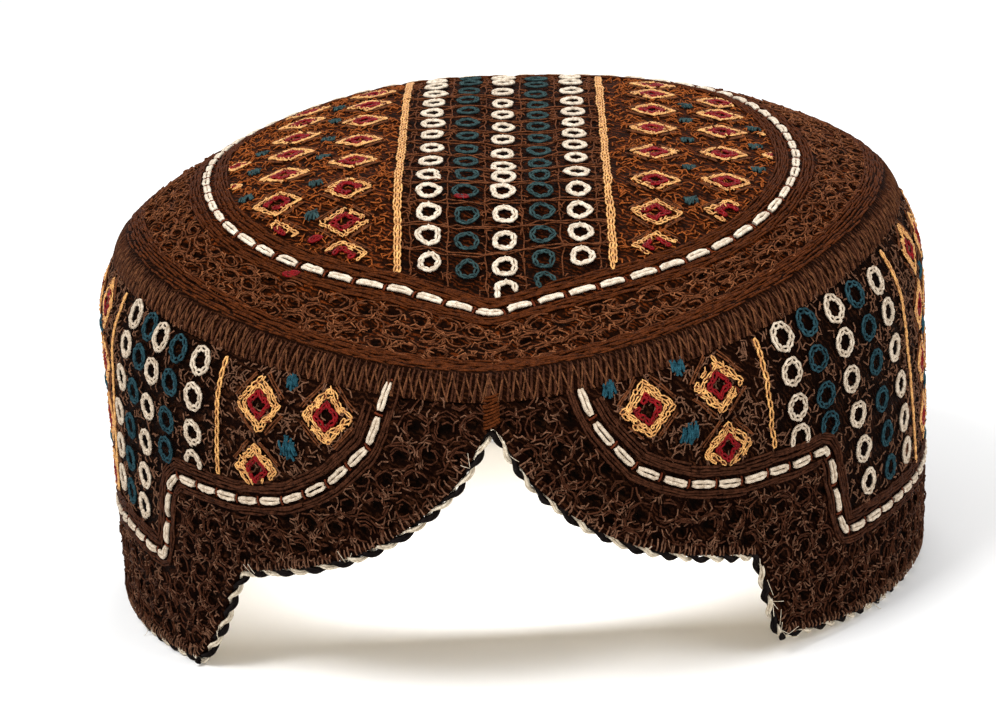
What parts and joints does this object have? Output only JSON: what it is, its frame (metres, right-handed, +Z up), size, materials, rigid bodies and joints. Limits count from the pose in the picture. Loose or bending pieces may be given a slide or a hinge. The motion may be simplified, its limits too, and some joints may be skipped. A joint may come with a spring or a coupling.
{
  "type": "sindhi cap",
  "caption": "Round embroidered cloth cap with a domed quilted crown, a tall side band cut into an arch with stepped flaps at the front, and a twisted cord edge.",
  "frame": {"origin": "centre of the cap's box in X and Y, on the level that its hem rests on", "axes": "+Z up, the arched front faces -Y, +X is on the right of someone who looks at the front"},
  "size_m": [0.1802, 0.1992, 0.0993],
  "materials": {
    "brown_embroidery": "matte brown cotton thread work with white, teal, gold and red motifs",
    "brown_openwork": "matte dark brown openwork thread with white, teal, gold and red motifs",
    "overcast_thread": "matte brown overcast and satin stitches",
    "twisted_cord": "matte black and white twisted cotton cord"
  },
  "bodies": {
    "root": {"crown_panel": "brown_embroidery", "side_band": "brown_openwork", "rim_seam": "overcast_thread", "front_seam": "overcast_thread", "edge_cord": "twisted_cord"}
  },
  "joints": []
}
